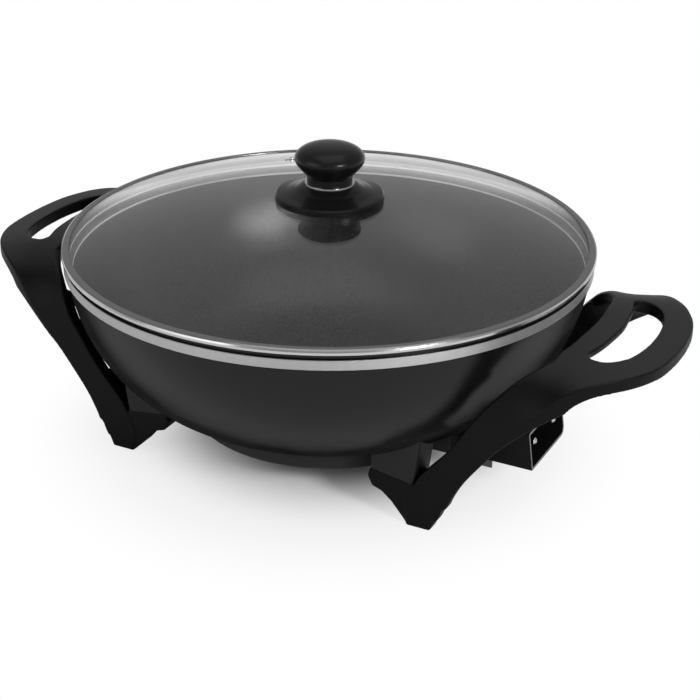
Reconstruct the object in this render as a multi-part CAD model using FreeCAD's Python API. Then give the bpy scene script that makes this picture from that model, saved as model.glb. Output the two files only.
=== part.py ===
"""Electric wok: a cast bowl on two moulded handle frames, under a lift-off glass lid.

Millimetres, +Z up. The origin is on the worktop under the middle of the bowl.
The two handles lie along X, and the socket for the heat control opens toward +X.
Each piece is built by its own short function and written to its own STEP file.
"""
import FreeCAD
import Part
import math
import os

V = FreeCAD.Vector
Z_AXIS = V(0, 0, 1)
X_AXIS = V(1, 0, 0)
Y_AXIS = V(0, 1, 0)

# ---------------------------------------------------------------- bowl
lid_seat_height = 144.5        # worktop to the plane on which the lid's ring comes down
lid_seat_gap = 0.3             # between the ring and the lip that carries it
rim_setback = 1.0              # bare machined band of the rim inside the lid's ring
rim_band_height = 6.7
rim_lip_height = 2.9           # coated lip that stands above the band
rim_lip_step = 2.0             # lip inside the band
rim_edge_break = 0.4
lid_skirt_fit = 0.2            # round the lid's skirt in the counterbore that centres it
lid_recess_room = 1.0          # under the lid's skirt
rim_overhang = 2.0             # band beyond the outside of the wall
shoulder_run = 22.0            # from the outside of the wall in to where it turns toward the floor
shoulder_drop = 60.0           # from the underside of the band to the shoulder
upper_curve_radius = 120.0
bowl_outside_depth = 112.0     # seat plane to the underside
bowl_wall = 4.0
bowl_floor = 6.0

# ---------------------------------------------------------------- heater under the bowl
heater_ring_inset = 58.0       # from the bowl's shoulder in to the ring's outside
heater_ring_width = 25.0
heater_ring_drop = 11.5        # below the underside of the bowl
heater_ring_break = 1.5
element_loop_inset = 13.0      # from the ring's outside in to the tube's middle line
element_tube_radius = 3.4
element_bend_radius = 12.0
element_rise = 2.4             # loop's middle above the bottom of the ring
element_slack = 0.15           # round the tube in the casting
terminal_spacing = 34.0
terminal_rise = 7.0            # terminals above the underside of the bowl
terminal_block_reach = 29.0    # from the ring's outside out to the casting's front face
terminal_block_length = 42.0
neck_rise = 1.0                # underside of the neck above the bottom of the ring
neck_gap = 5.5                 # from the neck to the back of the shroud
sheath_reach = 4.0             # tube beyond the casting's front face
sheath_ramp = 29.0             # length over which the tube climbs to the terminals
bush_radius = 5.0
bush_length = 4.5
pin_radius = 2.4
pin_shank_radius = 1.5         # thinner shank that the bush holds
pin_shoulder_gap = 0.6         # from the bush to the pin's shoulder
pin_reach = 37.0               # tip beyond the casting's front face
pin_tip_break = 1.2
probe_drop = 1.3               # probe's axis below the underside of the bowl
probe_bore_radius = 3.5
probe_bore_depth = 20.0        # blind end behind the casting's front face
probe_tube_wall = 1.0
probe_tube_reach = 11.0        # sleeve's ends before and behind that face
probe_tube_hold = 12.0

# ---------------------------------------------------------------- socket shroud
shroud_width = 60.0
shroud_sheet = 1.5
shroud_drop = 8.0              # bottom below the underside of the bowl
shroud_height = 26.3
shroud_reach = 40.0            # lower front edge beyond the casting's front face
shroud_lean = 3.6              # the upper front edge stands back by this
shroud_hold = 14.0             # back end behind the casting's front face
shroud_far_radius = 6.0        # folded lower corner on the +Y side
shroud_fold_radius = 2.0
shroud_bowl_gap = 0.5
block_side_gap = 0.2           # casting to the shroud's walls
shroud_screw_radius = 1.9
shroud_screw_head_radius = 3.4
shroud_screw_head = 2.2
shroud_screw_length = 7.0
shroud_screw_setback = 7.0     # behind the casting's front face
shroud_screw_spacing = 18.0
earth_tab_thickness = 1.2
earth_tab_width = 9.0
earth_tab_drop = 5.4
earth_tab_reach = 12.0
earth_tab_offset = 7.0         # middle of the lug before the casting's front face
earth_rivet_radius = 1.6
earth_rivet_head_radius = 2.9
earth_rivet_head = 1.1

# ---------------------------------------------------------------- handles and feet
handle_crown_drop = 17.0       # top of the grip at the middle, below the lid's seat
handle_half_width = 93.0       # outside of each leg from the middle plane
handle_sheet = 9.5
grip_edge_thickness = 8.4      # sheet at the far end of the grip
grip_lip = 4.2                 # edge of the inner bar beside the finger opening
grip_relief = 14.0             # slope under that edge, along and down
handle_tilt = 0.12             # fall of the grip per millimetre outward
grip_hand_room = 14.0          # from the rim to the grip's inner bar, which follows the bowl
grip_depth = 56.5              # from the inside of that bar to the grip's far end
grip_flat_start = 8.0          # the legs' curved shoulders start to fade this far inside the grip
handle_tilt_start = 3.0        # the fall of the grip starts this far inside the grip
arch_shoulder_drop = 49.0      # height of the legs' curved shoulders
grip_corner_depth = 95.0       # length of the grip's rounded plan corners along X
grip_side_margin = 1.5         # plan outline of the grip beyond the outside of the legs
bar_return = 44.0              # how far the inner bar's ends turn back beside the bowl
bar_return_inset = 5.0         # ends of the turn, in from the outside of the legs
leg_sheet_inset = 0.8          # each foot stands in from the leg's widest point
leg_foot_inset = 33.5          # from the bowl's shoulder in to the foot's outer end
foot_length = 16.5
lug_reach = 28.5               # from the foot in to the lug's tip
lug_tip_rise = 2.1             # top of the tip above the underside of the bowl
lug_root_step = 4.0            # from the foot's inner end out to the lug's root
lug_fall = 4.8                 # from the tip to the root
lug_depth = 24.0
lug_root_inset = 6.5           # the deep part of a foot stops short of its outer edge
grip_inner_bar = 16.5          # plan width of the two bars beside the finger opening
grip_outer_bar = 18.5
hole_half_length = 49.0
foot_flare = 10.6              # foot's outer edge from the worktop up to the leg
foot_height = 18.4

# ---------------------------------------------------------------- bosses and screws
boss_tip_gap = 1.1             # from the lug's tip to the boss
boss_root_gap = 0.4            # from the boss to the lug's root
boss_draft = 0.13              # lean of the boss's outer face per millimetre up
boss_depth = 26.6
boss_corner = 2.5
boss_setback = 0.6             # behind the face of the lug
handle_screw_setback = 15.5    # from the lug's tip
handle_screw_inset = 11.5      # from the outside of the leg
handle_screw_radius = 3.0
handle_screw_head_radius = 5.2
handle_screw_head = 3.6
handle_screw_grip = 6.0        # lug left between the washer and the boss
handle_screw_thread = 7.0
screw_fit = 0.3
washer_radius = 6.4
washer_thickness = 1.2
counterbore_fit = 0.6

# ---------------------------------------------------------------- lid
glass_thickness = 3.0
glass_rise = 28.0
ring_radius = 180.0
ring_sheet = 0.4
ring_shoulder = 1.6            # how far the ring's top edge is rolled in
ring_lip_width = 5.2           # how far the ring reaches in over the glass
ring_skirt_depth = 8.0
glass_edge_gap = 0.3
glass_hole_radius = 4.5
vent_x = -75.5
vent_y = 83.0
vent_bore_radius = 2.0
vent_barrel_radius = 3.2
vent_flange_radius = 4.4
vent_flange = 0.8
vent_fit = 0.05

# ---------------------------------------------------------------- knob
knob_plate_radius = 36.7
knob_plate_edge = 4.6
knob_plate_break = 1.1
knob_plate_rise = 6.6          # from the rim of the plate up to the neck
knob_plate_hollow = 26.0
knob_plate_rim = 3.0
knob_plate_hub_radius = 13.0
knob_plate_skin = 3.2
ferrule_radius = 16.6
ferrule_height = 1.1
knob_neck_radius = 15.3
knob_neck_height = 4.6
knob_head_radius = 23.4
knob_flare_height = 13.0
knob_dome_height = 8.6
gasket_radius = 12.0
gasket_thickness = 1.2
knob_screw_radius = 2.5
knob_screw_fit = 0.15
knob_screw_head_radius = 5.5
knob_screw_head = 3.4
knob_washer_radius = 10.0
knob_washer_thickness = 1.0
insert_radius = 4.6
insert_length = 13.0

# ---------------------------------------------------------------- places worked out from the sizes
ring_lip_radius = ring_radius - ring_lip_width
rim_radius = ring_radius - rim_setback
rim_lip_radius = rim_radius - rim_lip_step
lid_recess_radius = ring_lip_radius + ring_sheet + lid_skirt_fit
lid_recess_depth = ring_skirt_depth + lid_recess_room
wall_top_radius = rim_radius - rim_overhang
shoulder_radius = wall_top_radius - shoulder_run
handle_crown = lid_seat_height - handle_crown_drop
grip_plan_half = handle_half_width + grip_side_margin
bar_return_half = handle_half_width - bar_return_inset
leg_foot_outer = shoulder_radius - leg_foot_inset
leg_foot_inner = leg_foot_outer - foot_length
lug_tip = leg_foot_inner - lug_reach
lug_root = leg_foot_inner + lug_root_step
boss_inner = lug_tip + boss_tip_gap
boss_outer = lug_root - boss_root_gap
handle_screw_x = lug_tip + handle_screw_setback
grip_inner_radius = rim_radius + grip_hand_room
handle_reach = grip_inner_radius + grip_depth
grip_flat_from = grip_inner_radius - grip_flat_start
handle_tilt_from = grip_inner_radius - handle_tilt_start
hole_inner = grip_inner_radius + grip_inner_bar
hole_outer = handle_reach - grip_outer_bar
band_top = lid_seat_height - lid_seat_gap - rim_lip_height
band_bottom = band_top - rim_band_height
underside = lid_seat_height - bowl_outside_depth
lug_tip_top = underside + lug_tip_rise
lug_root_top = lug_tip_top - lug_fall
heater_ring_outer = shoulder_radius - heater_ring_inset
heater_ring_inner = heater_ring_outer - heater_ring_width
element_loop_radius = heater_ring_outer - element_loop_inset
terminal_height = underside + terminal_rise
terminal_block_front = heater_ring_outer + terminal_block_reach
terminal_block_back = terminal_block_front - terminal_block_length
sheath_ramp_start = terminal_block_front - sheath_ramp
bush_start = terminal_block_front + sheath_reach
pin_shoulder_x = bush_start + bush_length + pin_shoulder_gap
pin_tip_x = terminal_block_front + pin_reach
probe_height = underside - probe_drop
probe_bore_end = terminal_block_front - probe_bore_depth
probe_tube_front = terminal_block_front + probe_tube_reach
probe_tube_back = terminal_block_front - probe_tube_hold
shroud_bottom = underside - shroud_drop
shroud_top = shroud_bottom + shroud_height
shroud_front = terminal_block_front + shroud_reach
shroud_back = terminal_block_front - shroud_hold
shroud_screw_x = terminal_block_front - shroud_screw_setback
earth_tab_x = terminal_block_front + earth_tab_offset
heater_ring_bottom = underside - heater_ring_drop
element_height = heater_ring_bottom + element_rise
shroud_floor_top = shroud_bottom + shroud_sheet
ring_height = glass_thickness + 2.0 * ring_sheet
glass_bottom = lid_seat_height + ring_sheet
glass_top_edge = glass_bottom + glass_thickness
glass_curve_radius = (ring_lip_radius ** 2 + glass_rise ** 2) / (2.0 * glass_rise)
glass_centre = glass_top_edge + glass_rise - glass_curve_radius


def polygon_wire(points):
    """Closed wire through the given points."""
    return Part.makePolygon(list(points) + [points[0]])


def revolve_profile(points):
    """Solid of revolution about Z from (radius, height) corners."""
    wire = polygon_wire([V(r, 0, z) for r, z in points])
    return Part.Face(wire).revolve(V(0, 0, 0), Z_AXIS, 360)


def revolve_edges(edges):
    """Solid of revolution about Z from edges that close in the XZ plane."""
    wire = Part.Wire(Part.__sortEdges__(edges))
    return Part.Face(wire).revolve(V(0, 0, 0), Z_AXIS, 360)


def box_between(low, high):
    """Box from its lowest to its highest corner."""
    return Part.makeBox(high[0] - low[0], high[1] - low[1], high[2] - low[2], V(*low))


def spline_through(points):
    """Smooth edge through the given points."""
    curve = Part.BSplineCurve()
    curve.interpolate(points)
    return curve.toShape()


def mirrored_in_x(shape):
    """The same piece on the other side of the bowl."""
    return shape.mirror(V(0, 0, 0), X_AXIS)


def mirrored_in_y(shape):
    """The same piece on the far side of the middle plane."""
    return shape.mirror(V(0, 0, 0), Y_AXIS)


# ---------------------------------------------------------------- bowl

def wall_slopes():
    """Angles from upright of the bowl's outside at the rim and at the shoulder."""
    run = wall_top_radius - shoulder_radius
    middle = math.atan2(run, shoulder_drop)
    chord = math.hypot(run, shoulder_drop)
    half = math.asin(chord / (2.0 * upper_curve_radius))
    return middle - half, middle + half


def upper_curve_centre():
    """Centre of the arc that forms the upper wall."""
    rim_slope = wall_slopes()[0]
    x = wall_top_radius - upper_curve_radius * math.cos(rim_slope)
    z = band_bottom + upper_curve_radius * math.sin(rim_slope)
    return x, z


def curve_point(centre, radius, slope):
    """Point of a wall arc where the wall leans by the given slope."""
    x = centre[0] + radius * math.cos(slope)
    z = centre[1] - radius * math.sin(slope)
    return V(x, 0, z)


def wall_arcs(inset, top_height, floor_height):
    """Upper and lower arc of the wall, moved in by inset and tangent to a floor."""
    centre = upper_curve_centre()
    radius = upper_curve_radius - inset
    shoulder_slope = wall_slopes()[1]
    top_slope = math.asin((centre[1] - top_height) / radius)
    top = curve_point(centre, radius, top_slope)
    middle = curve_point(centre, radius, 0.5 * (top_slope + shoulder_slope))
    shoulder = curve_point(centre, radius, shoulder_slope)
    upper = Part.Arc(top, middle, shoulder).toShape()
    low_radius = (shoulder.z - floor_height) / (1.0 - math.sin(shoulder_slope))
    low_centre = (shoulder.x - low_radius * math.cos(shoulder_slope), floor_height + low_radius)
    turn = 0.5 * (shoulder_slope + 0.5 * math.pi)
    low_middle = curve_point(low_centre, low_radius, turn)
    foot = V(low_centre[0], 0, floor_height)
    lower = Part.Arc(shoulder, low_middle, foot).toShape()
    return upper, lower, top, foot


def bowl_envelope(clearance):
    """Solid that fills the bowl's outside, grown by a clearance, for cutting neighbours."""
    bottom = underside - clearance
    upper, lower, top, foot = wall_arcs(-clearance, band_bottom, bottom)
    corners = [foot, V(0, 0, bottom), V(0, 0, lid_seat_height), V(top.x, 0, lid_seat_height), top]
    edges = [upper, lower]
    for start, end in zip(corners, corners[1:]):
        edges.append(Part.makeLine(start, end))
    return revolve_edges(edges)


def bowl():
    """Cast bowl with its machined rim band and the recess that takes the lid."""
    brk = rim_edge_break
    lip_top = lid_seat_height - lid_seat_gap
    recess_floor = lid_seat_height - lid_recess_depth
    inner_floor = underside + bowl_floor
    outer_upper, outer_lower, outer_top, outer_foot = wall_arcs(0.0, band_bottom, underside)
    inner_upper, inner_lower, inner_top, inner_foot = wall_arcs(
        bowl_wall, recess_floor - brk, inner_floor)
    rim = [
        outer_top,
        V(rim_radius - brk, 0, band_bottom),
        V(rim_radius, 0, band_bottom + brk),
        V(rim_radius, 0, band_top - brk),
        V(rim_radius - brk, 0, band_top),
        V(rim_lip_radius, 0, band_top),
        V(rim_lip_radius, 0, lip_top - brk),
        V(rim_lip_radius - brk, 0, lip_top),
        V(lid_recess_radius + brk, 0, lip_top),
        V(lid_recess_radius, 0, lip_top - brk),
        V(lid_recess_radius, 0, recess_floor),
        V(inner_top.x + brk, 0, recess_floor),
        inner_top,
    ]
    edges = [outer_upper, outer_lower, inner_upper, inner_lower]
    for start, end in zip(rim, rim[1:]):
        edges.append(Part.makeLine(start, end))
    edges.append(Part.makeLine(outer_foot, V(0, 0, underside)))
    edges.append(Part.makeLine(V(0, 0, underside), V(0, 0, inner_floor)))
    edges.append(Part.makeLine(V(0, 0, inner_floor), inner_foot))
    return revolve_edges(edges)


# ---------------------------------------------------------------- heater

def element_path():
    """Middle line of the tube: a loop with both ends bent out toward the socket."""
    half = 0.5 * terminal_spacing
    bend_y = half + element_bend_radius
    reach = element_loop_radius + element_bend_radius
    bend_x = math.sqrt(reach ** 2 - bend_y ** 2)
    z = element_height
    on_loop = V(bend_x * element_loop_radius / reach, bend_y * element_loop_radius / reach, z)
    loop = Part.Arc(on_loop, V(-element_loop_radius, 0, z), V(on_loop.x, -on_loop.y, z)).toShape()
    centre = V(bend_x, bend_y, z)
    to_loop = (on_loop - centre).normalize()
    to_line = V(0, -1, 0)
    middle = centre + (to_loop + to_line).normalize() * element_bend_radius
    line_start = V(bend_x, half, z)
    bend = Part.Arc(on_loop, middle, line_start).toShape()
    ramp_end = terminal_block_front
    rise = terminal_height - z
    run = ramp_end - sheath_ramp_start
    ramp = Part.BSplineCurve()
    ramp.interpolate(
        Points=[
            line_start,
            V(sheath_ramp_start, half, z + 0.02 * rise),
            V(sheath_ramp_start + 0.5 * run, half, z + 0.42 * rise),
            V(ramp_end, half, terminal_height),
        ],
        InitialTangent=X_AXIS,
        FinalTangent=X_AXIS,
    )
    ramp = ramp.toShape()
    end = Part.makeLine(V(ramp_end, half, terminal_height),
                        V(bush_start, half, terminal_height))
    near_side = [mirrored_in_y(edge) for edge in (bend, ramp, end)]
    return Part.Wire(Part.__sortEdges__([loop, bend, ramp, end] + near_side))


def swept_tube(radius):
    """Round bar swept along the element's middle line."""
    path = element_path()
    start = V(bush_start, 0.5 * terminal_spacing, terminal_height)
    ring = Part.Wire(Part.makeCircle(radius, start, X_AXIS))
    return path.makePipeShell([ring], True, False)


def heating_element():
    """Sheathed tubular element."""
    return swept_tube(element_tube_radius)


def heater_casting():
    """Ring cast under the bowl round the element, with the block that carries the terminals."""
    top = underside + heater_ring_drop
    ring = revolve_profile([
        (heater_ring_inner, heater_ring_bottom),
        (heater_ring_outer - heater_ring_break, heater_ring_bottom),
        (heater_ring_outer, heater_ring_bottom + heater_ring_break),
        (heater_ring_outer, top),
        (heater_ring_inner, top),
    ])
    half = 0.5 * shroud_width - shroud_sheet - block_side_gap
    block = box_between(
        (terminal_block_back, -half, shroud_floor_top),
        (terminal_block_front, half, shroud_top),
    )
    inside = shroud_section(terminal_block_back, shroud_sheet)
    block = block.common(inside.extrude(V(terminal_block_front - terminal_block_back, 0, 0)))
    neck = box_between(
        (terminal_block_back, -0.5 * shroud_width, heater_ring_bottom + neck_rise),
        (shroud_back - neck_gap, 0.5 * shroud_width, shroud_top),
    )
    casting = ring.fuse([block, neck]).cut(bowl_envelope(0.0))
    casting = casting.cut(swept_tube(element_tube_radius + element_slack))
    probe_hole = Part.makeCylinder(
        probe_bore_radius + probe_tube_wall,
        terminal_block_front - probe_tube_back + 1.0,
        V(probe_tube_back, 0, probe_height), X_AXIS)
    blind_hole = Part.makeCylinder(
        probe_bore_radius, probe_tube_back - probe_bore_end + 1.0,
        V(probe_bore_end, 0, probe_height), X_AXIS)
    casting = casting.cut(probe_hole).cut(blind_hole)
    for y in (-0.5 * shroud_screw_spacing, 0.5 * shroud_screw_spacing):
        casting = casting.cut(Part.makeCylinder(
            shroud_screw_radius, shroud_screw_length - shroud_sheet,
            V(shroud_screw_x, y, shroud_floor_top)))
    return largest_solid(casting)


def largest_solid(shape):
    """The main solid of a cut shape, without any loose slivers."""
    return max(shape.Solids, key=lambda solid: solid.Volume)


def probe_tube():
    """Sleeve in which the heat control's probe slides."""
    length = probe_tube_front - probe_tube_back
    base = V(probe_tube_back, 0, probe_height)
    outer = Part.makeCylinder(probe_bore_radius + probe_tube_wall, length, base, X_AXIS)
    return outer.cut(Part.makeCylinder(probe_bore_radius, length, base, X_AXIS))


def terminal_bush(side):
    """Ceramic bush round the foot of a terminal pin."""
    base = V(bush_start, side * 0.5 * terminal_spacing, terminal_height)
    outer = Part.makeCylinder(bush_radius, bush_length, base, X_AXIS)
    return outer.cut(Part.makeCylinder(pin_shank_radius, bush_length, base, X_AXIS))


def terminal_pin(side):
    """Plug-in terminal pin with a bevelled tip, on a thinner shank."""
    y = side * 0.5 * terminal_spacing
    tip_start = pin_tip_x - pin_tip_break
    shank = Part.makeCylinder(
        pin_shank_radius, pin_shoulder_x - bush_start, V(bush_start, y, terminal_height), X_AXIS)
    pin = Part.makeCylinder(
        pin_radius, tip_start - pin_shoulder_x, V(pin_shoulder_x, y, terminal_height), X_AXIS)
    tip = Part.makeCone(
        pin_radius, pin_radius - pin_tip_break, pin_tip_break,
        V(tip_start, y, terminal_height), X_AXIS)
    return pin.fuse([shank, tip]).removeSplitter()


# ---------------------------------------------------------------- socket shroud

def shroud_section(x, grow_in):
    """Closed section of the shroud in YZ at x, moved in by the sheet for its inside."""
    half = 0.5 * shroud_width - grow_in
    low = shroud_bottom + grow_in
    high = shroud_top - grow_in
    far = max(shroud_far_radius - grow_in, 0.2)
    fold = max(shroud_fold_radius - grow_in, 0.2)
    slant = math.sqrt(0.5)
    edges = [
        Part.makeLine(V(x, -half, low), V(x, half - far, low)),
        Part.Arc(V(x, half - far, low),
                 V(x, half - far + far * slant, low + far - far * slant),
                 V(x, half, low + far)).toShape(),
        Part.makeLine(V(x, half, low + far), V(x, half, high - fold)),
        Part.Arc(V(x, half, high - fold),
                 V(x, half - fold + fold * slant, high - fold + fold * slant),
                 V(x, half - fold, high)).toShape(),
        Part.makeLine(V(x, half - fold, high), V(x, -half + fold, high)),
        Part.Arc(V(x, -half + fold, high),
                 V(x, -half + fold - fold * slant, high - fold + fold * slant),
                 V(x, -half, high - fold)).toShape(),
        Part.makeLine(V(x, -half, high - fold), V(x, -half, low)),
    ]
    return Part.Face(Part.Wire(edges))


def shroud():
    """Folded steel cover round the terminals, open at the front."""
    length = shroud_front - shroud_back
    outer = shroud_section(shroud_back, 0.0).extrude(V(length, 0, 0))
    inner = shroud_section(shroud_back, shroud_sheet).extrude(V(length, 0, 0))
    cover = outer.cut(inner)
    height = shroud_top - shroud_bottom
    margin = 5.0
    lean = shroud_lean / height
    front_wedge = polygon_wire([
        V(shroud_front + lean * margin, -shroud_width, shroud_bottom - margin),
        V(shroud_front - lean * (height + margin), -shroud_width, shroud_top + margin),
        V(shroud_front + margin, -shroud_width, shroud_top + margin),
        V(shroud_front + margin, -shroud_width, shroud_bottom - margin),
    ])
    cover = cover.cut(Part.Face(front_wedge).extrude(V(0, 2.0 * shroud_width, 0)))
    cover = cover.cut(bowl_envelope(shroud_bowl_gap))
    for y in (-0.5 * shroud_screw_spacing, 0.5 * shroud_screw_spacing):
        cover = cover.cut(Part.makeCylinder(
            shroud_screw_radius, shroud_sheet, V(shroud_screw_x, y, shroud_bottom)))
    cover = cover.cut(Part.makeCylinder(
        earth_rivet_radius, shroud_sheet, earth_rivet_place(shroud_bottom)))
    return largest_solid(cover)


def shroud_screws():
    """Two screws that hold the shroud to the casting."""
    screws = []
    for y in (-0.5 * shroud_screw_spacing, 0.5 * shroud_screw_spacing):
        head = Part.makeCylinder(
            shroud_screw_head_radius, shroud_screw_head,
            V(shroud_screw_x, y, shroud_bottom - shroud_screw_head))
        shank = Part.makeCylinder(
            shroud_screw_radius, shroud_screw_length - 0.5, V(shroud_screw_x, y, shroud_bottom))
        screws.append(head.fuse(shank).removeSplitter())
    return Part.makeCompound(screws)


def earth_rivet_place(height):
    """Middle of the earth rivet at a given height."""
    y = -0.5 * shroud_width + 0.5 * earth_tab_reach
    return V(earth_tab_x, y, height)


def earth_tab():
    """Folded earth lug riveted under the near edge of the shroud."""
    low_x = earth_tab_x - 0.5 * earth_tab_width
    near = -0.5 * shroud_width
    foot = box_between(
        (low_x, near, shroud_bottom - earth_tab_thickness),
        (low_x + earth_tab_width, near + earth_tab_reach, shroud_bottom),
    )
    leaf = box_between(
        (low_x, near, shroud_bottom - earth_tab_drop),
        (low_x + earth_tab_width, near + earth_tab_thickness, shroud_bottom),
    )
    tab = foot.fuse(leaf).removeSplitter()
    return tab.cut(Part.makeCylinder(
        earth_rivet_radius, earth_tab_thickness,
        earth_rivet_place(shroud_bottom - earth_tab_thickness)))


def earth_rivet():
    """Rivet that clenches the earth lug to the shroud."""
    under = shroud_bottom - earth_tab_thickness
    low_head = Part.makeCylinder(
        earth_rivet_head_radius, earth_rivet_head, earth_rivet_place(under - earth_rivet_head))
    shank = Part.makeCylinder(
        earth_rivet_radius, earth_tab_thickness + shroud_sheet, earth_rivet_place(under))
    top_head = Part.makeCylinder(
        earth_rivet_head_radius, earth_rivet_head, earth_rivet_place(shroud_floor_top))
    return low_head.fuse(shank).fuse(top_head).removeSplitter()


# ---------------------------------------------------------------- handles

def arch_points(fade):
    """Outside of the arch from the crown down one leg, as (y, z) before the tilt."""
    shares = [(1.0, 0.0), (0.71, 0.012), (0.57, 0.037), (0.409, 0.094),
              (0.29, 0.184), (0.183, 0.322), (0.097, 0.5), (0.032, 0.714), (0.0, 1.0)]
    half, fall = handle_half_width, arch_shoulder_drop * fade
    return [(half - inset * half, handle_crown - drop * fall) for inset, drop in shares]


def inward_offset(points, distance):
    """The same outline moved toward the inside of the arch."""
    moved = []
    for index, (y, z) in enumerate(points):
        before = points[max(index - 1, 0)]
        after = points[min(index + 1, len(points) - 1)]
        along = math.hypot(after[0] - before[0], after[1] - before[1])
        normal_y = (after[1] - before[1]) / along
        normal_z = -(after[0] - before[0]) / along
        moved.append((y + normal_y * distance, z + normal_z * distance))
    moved[0] = (0.0, points[0][1] - distance)
    moved[-1] = (points[-1][0] - distance, moved[-1][1])
    return moved


def arch_section(x, fade, thickness):
    """Closed section of the arch at x, with both legs running down past the worktop."""
    lift = handle_tilt * (handle_tilt_from - x)
    outer_half = arch_points(fade)
    inner_half = inward_offset(outer_half, thickness)
    below = -handle_crown
    outer = [V(x, -y, z + lift) for y, z in reversed(outer_half)]
    outer += [V(x, y, z + lift) for y, z in outer_half[1:]]
    inner = [V(x, -y, z + lift) for y, z in reversed(inner_half)]
    inner += [V(x, y, z + lift) for y, z in inner_half[1:]]
    outer_low = [V(x, outer[0].y, below), V(x, outer[-1].y, below)]
    inner_low = [V(x, inner[0].y, below), V(x, inner[-1].y, below)]
    return Part.Wire([
        spline_through(outer),
        Part.makeLine(outer[-1], outer_low[1]),
        Part.makeLine(outer_low[1], inner_low[1]),
        Part.makeLine(inner_low[1], inner[-1]),
        spline_through(list(reversed(inner))),
        Part.makeLine(inner[0], inner_low[0]),
        Part.makeLine(inner_low[0], outer_low[0]),
        Part.makeLine(outer_low[0], outer[0]),
    ])


def arch_sheet():
    """Bent sheet that both legs and the grip are cut from.

    The shoulders are full over the legs and fade toward the far end of the grip.
    """
    run = handle_reach - grip_flat_from
    stations = [
        (lug_tip - 0.7 * lug_reach, 1.0), (grip_flat_from - 60.0, 1.0), (grip_flat_from - 25.0, 1.0),
        (grip_flat_from, 0.97), (grip_flat_from + 0.23 * run, 0.66),
        (grip_flat_from + 0.45 * run, 0.36), (grip_flat_from + 0.66 * run, 0.205),
        (grip_flat_from + 0.88 * run, 0.14), (handle_reach + 14.0, 0.11),
    ]
    sections = []
    for x, fade in stations:
        share = min(max((x - grip_flat_from) / run, 0.0), 1.0)
        thickness = handle_sheet - share * (handle_sheet - grip_edge_thickness)
        sections.append(arch_section(x, fade, thickness))
    return Part.makeLoft(sections, True, False)


def leg_points(shares):
    """Points of a leg seen from the side, from shares of its run out to the reach and of its height."""
    run = handle_reach - leg_foot_outer
    return [(leg_foot_outer + across * run, up * handle_crown) for across, up in shares]


def side_outline():
    """Outline of leg and grip seen from the side, as a face across the whole width."""
    width = 1.1 * handle_half_width
    lower = foot_line()[-1:] + leg_points([
        (0.1602, 0.302), (0.2578, 0.4392), (0.3281, 0.5294), (0.3969, 0.6), (0.4781, 0.6714),
        (0.5641, 0.7373), (0.6523, 0.789), (0.7383, 0.8251), (0.832, 0.8439), (1.0625, 0.8518),
    ])
    upper = [(lug_root, lug_root_top)] + leg_points([
        (-0.0453, 0.3224), (0.0219, 0.4), (0.0742, 0.4667), (0.1789, 0.6282), (0.2672, 0.7576),
        (0.3148, 0.8125), (0.3555, 0.858), (0.4008, 0.8941), (0.4516, 0.9271), (0.5039, 0.9569),
    ])
    outer_foot = list(reversed(foot_line())) + [(leg_foot_inner, 0.0)]
    inner_foot = [(lug_root - 0.5 * foot_flare, 0.6 * lug_root_top), (lug_root, lug_root_top)]
    above = 1.08 * handle_crown
    top = [upper[-1], (upper[-1][0] + 0.5 * foot_flare, above), (lower[-1][0], above), lower[-1]]

    def place(points):
        """Points on the near side plane."""
        return [V(x, -width, z) for x, z in points]

    edges = [spline_through(place(lower)), spline_through(place(upper))]
    for line in (outer_foot + inner_foot, top):
        corners = place(line)
        for start, end in zip(corners, corners[1:]):
            edges.append(Part.makeLine(start, end))
    wire = Part.Wire(Part.__sortEdges__(edges))
    return Part.Face(wire).extrude(V(0, 2.0 * width, 0))


def plan_outline():
    """Outline of the grip seen from above."""
    shares = [
        (0.0, 0.0), (0.0105, 0.2011), (0.0421, 0.381), (0.1, 0.5238), (0.2053, 0.6772),
        (0.3158, 0.7778), (0.4316, 0.8519), (0.5684, 0.9153), (0.6947, 0.9577), (0.8421, 0.9884),
        (1.0, 1.0),
    ]
    half = [(handle_reach - back * grip_corner_depth, out * grip_plan_half) for back, out in shares]
    near = [V(x, -y, -1.0) for x, y in reversed(half)]
    far = [V(x, y, -1.0) for x, y in half[1:]]
    loop = near + far
    back = lug_tip - lug_reach
    corners = [loop[-1], V(back, loop[-1].y, -1.0), V(back, loop[0].y, -1.0), loop[0]]
    edges = [spline_through(loop)]
    for start, end in zip(corners, corners[1:]):
        edges.append(Part.makeLine(start, end))
    face = Part.Face(Part.Wire(edges))
    return face.extrude(V(0, 0, handle_crown + 30.0))


def bar_gap():
    """Space between the grip's inner bar and the bowl, following the bowl's curve."""
    radius = grip_inner_radius
    shares = [
        (0.0, 0.0), (0.034, 0.273), (0.109, 0.511), (0.195, 0.614),
        (0.314, 0.71), (0.477, 0.801), (0.659, 0.881),
        (1.0, 1.0),
    ]
    half = [(radius - back * bar_return, out * bar_return_half) for back, out in shares]
    low = handle_crown - 0.5 * arch_shoulder_drop
    near = [V(x, -y, low) for x, y in reversed(half)]
    far = [V(x, y, low) for x, y in half[1:]]
    loop = near + far
    back = radius - 2.0 * bar_return
    corners = [loop[-1], V(back, loop[-1].y, low), V(back, loop[0].y, low), loop[0]]
    edges = [spline_through(loop)]
    for start, end in zip(corners, corners[1:]):
        edges.append(Part.makeLine(start, end))
    return Part.Face(Part.Wire(edges)).extrude(V(0, 0, handle_crown))


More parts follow.
